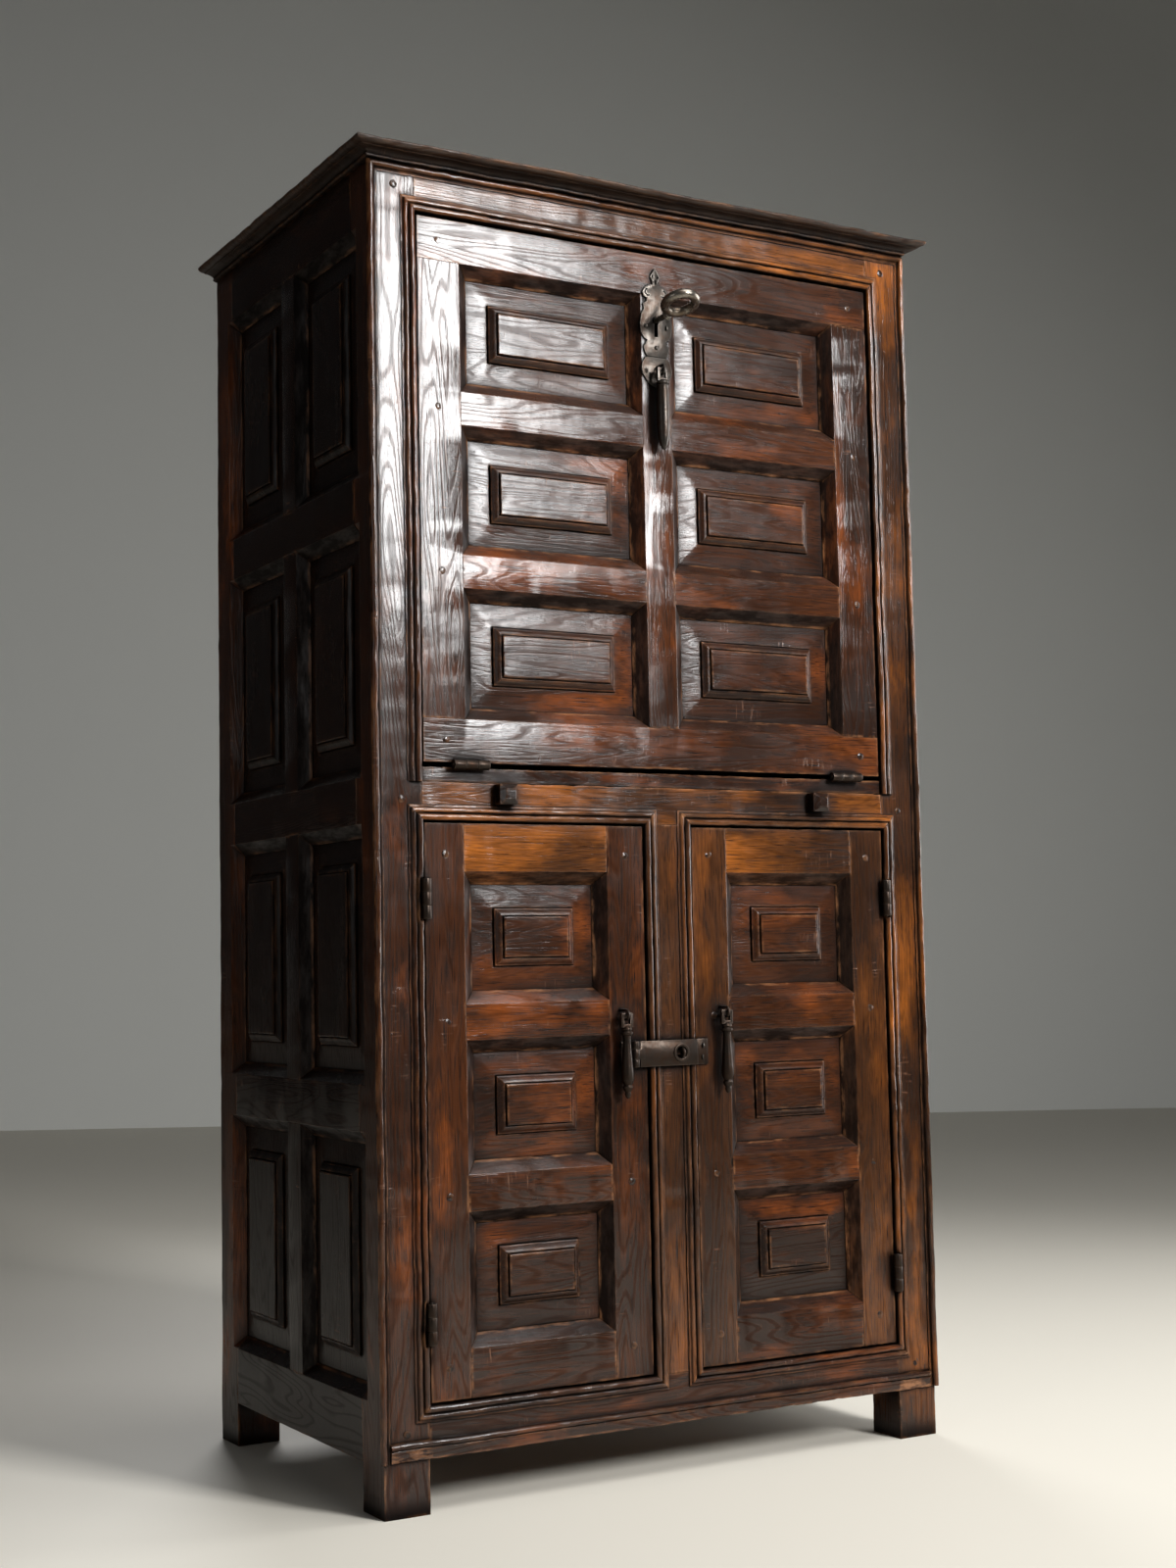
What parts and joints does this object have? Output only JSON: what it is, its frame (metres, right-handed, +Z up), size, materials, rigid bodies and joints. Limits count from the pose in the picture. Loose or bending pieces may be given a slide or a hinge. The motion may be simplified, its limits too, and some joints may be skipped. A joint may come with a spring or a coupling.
{
  "type": "fall-front cabinet",
  "caption": "Panelled walnut cabinet with a drop front on pull-out supports above paired doors with a hasp, on square feet under a moulded cornice.",
  "frame": {"origin": "under the middle of the box round the whole cabinet, on the floor", "axes": "+Z up, the doors and the drop front face -Y, +X to the right seen from the front"},
  "size_m": [0.834, 0.5958, 1.5786],
  "materials": {
    "walnut": "waxed, worn",
    "dark_walnut": "waxed, darkened",
    "pine": "bare, aged",
    "iron": "forged, waxed",
    "steel": "worn bright"
  },
  "bodies": {
    "carcass": {"front_left_post": "walnut", "front_right_post": "walnut", "back_left_post": "walnut", "back_right_post": "walnut", "front_top_rail": "walnut", "front_middle_rail": "walnut", "front_bottom_rail": "walnut", "centre_post": "walnut", "left_side": "dark_walnut", "right_side": "dark_walnut", "back_boards": "pine", "top_board": "walnut", "cornice": "walnut", "bottom_board": "pine", "middle_floor": "walnut", "lower_shelf": "pine", "upper_shelf": "pine", "frame_hinge_leaf_left": "iron", "frame_hinge_leaf_right": "iron", "left_post_hinge_leaf_lower": "iron", "left_post_hinge_leaf_upper": "iron", "right_post_hinge_leaf_lower": "iron", "right_post_hinge_leaf_upper": "iron", "centre_staple": "iron"},
    "flap": {"flap_frame": "walnut", "flap_panel_left_lower": "walnut", "flap_panel_left_middle": "walnut", "flap_panel_left_upper": "walnut", "flap_panel_right_lower": "walnut", "flap_panel_right_middle": "walnut", "flap_panel_right_upper": "walnut", "flap_hinge_leaf_left": "iron", "flap_hinge_leaf_right": "iron", "flap_lock_plate": "iron", "flap_pull_plate": "iron", "flap_lock_case": "iron"},
    "flap_pull": {"flap_pull": "iron"},
    "key": {"key": "steel"},
    "lock_bolt": {"lock_bolt": "steel"},
    "left_door": {"left_door_frame": "walnut", "left_door_panel_lower": "walnut", "left_door_panel_middle": "walnut", "left_door_panel_upper": "walnut", "left_door_hinge_leaf_lower": "iron", "left_door_hinge_leaf_upper": "iron", "left_door_pull_staple": "iron", "hasp_bracket": "iron"},
    "left_door_pull": {"left_door_pull": "iron"},
    "left_loper": {"left_loper": "dark_walnut"},
    "right_door": {"right_door_frame": "walnut", "right_door_panel_lower": "walnut", "right_door_panel_middle": "walnut", "right_door_panel_upper": "walnut", "right_door_hinge_leaf_lower": "iron", "right_door_hinge_leaf_upper": "iron", "right_door_pull_staple": "iron", "keeper_plate": "iron"},
    "right_door_pull": {"right_door_pull": "iron"},
    "right_loper": {"right_loper": "dark_walnut"},
    "hasp": {"hasp": "iron"}
  },
  "joints": [
    {"name": "flap_hinge", "type": "hinge", "parent": "carcass", "child": "flap", "pos_m": [0, -0.2208, 0.8485], "axis": [1, 0, 0], "range_deg": [0, 96]},
    {"name": "left_door_hinge", "type": "hinge", "parent": "carcass", "child": "left_door", "pos_m": [-0.33175, -0.2208, 0.1222], "axis": [0, 0, -1], "range_deg": [0, 110]},
    {"name": "right_door_hinge", "type": "hinge", "parent": "carcass", "child": "right_door", "pos_m": [0.33175, -0.2208, 0.1222], "axis": [0, 0, 1], "range_deg": [0, 110]},
    {"name": "left_loper_slide", "type": "slide", "parent": "carcass", "child": "left_loper", "axis": [0, -1, 0], "range_m": [0, 0.225]},
    {"name": "right_loper_slide", "type": "slide", "parent": "carcass", "child": "right_loper", "axis": [0, -1, 0], "range_m": [0, 0.225]},
    {"name": "flap_pull_swing", "type": "hinge", "parent": "flap", "child": "flap_pull", "pos_m": [0, -0.2286, 1.352], "axis": [-1, 0, 0], "range_deg": [0, 75]},
    {"name": "left_door_pull_swing", "type": "hinge", "parent": "left_door", "child": "left_door_pull", "pos_m": [-0.072, -0.2286, 0.552], "axis": [-1, 0, 0], "range_deg": [0, 75]},
    {"name": "right_door_pull_swing", "type": "hinge", "parent": "right_door", "child": "right_door_pull", "pos_m": [0.072, -0.2286, 0.552], "axis": [-1, 0, 0], "range_deg": [0, 75]},
    {"name": "key_turn", "type": "hinge", "parent": "flap", "child": "key", "pos_m": [0, -0.2141, 1.418], "axis": [0, -1, 0], "range_deg": [0, 90]},
    {"name": "bolt_slide", "type": "slide", "parent": "flap", "child": "lock_bolt", "axis": [0, 0, 1], "range_m": [0, 0.013]},
    {"name": "hasp_hinge", "type": "hinge", "parent": "left_door", "child": "hasp", "pos_m": [-0.0555, -0.22, 0.504], "axis": [0, 0, -1], "range_deg": [0, 88]}
  ],
  "couplings": [
    {"joint": "key_turn", "follows": "bolt_slide", "rad_per_m": 120.83}
  ]
}
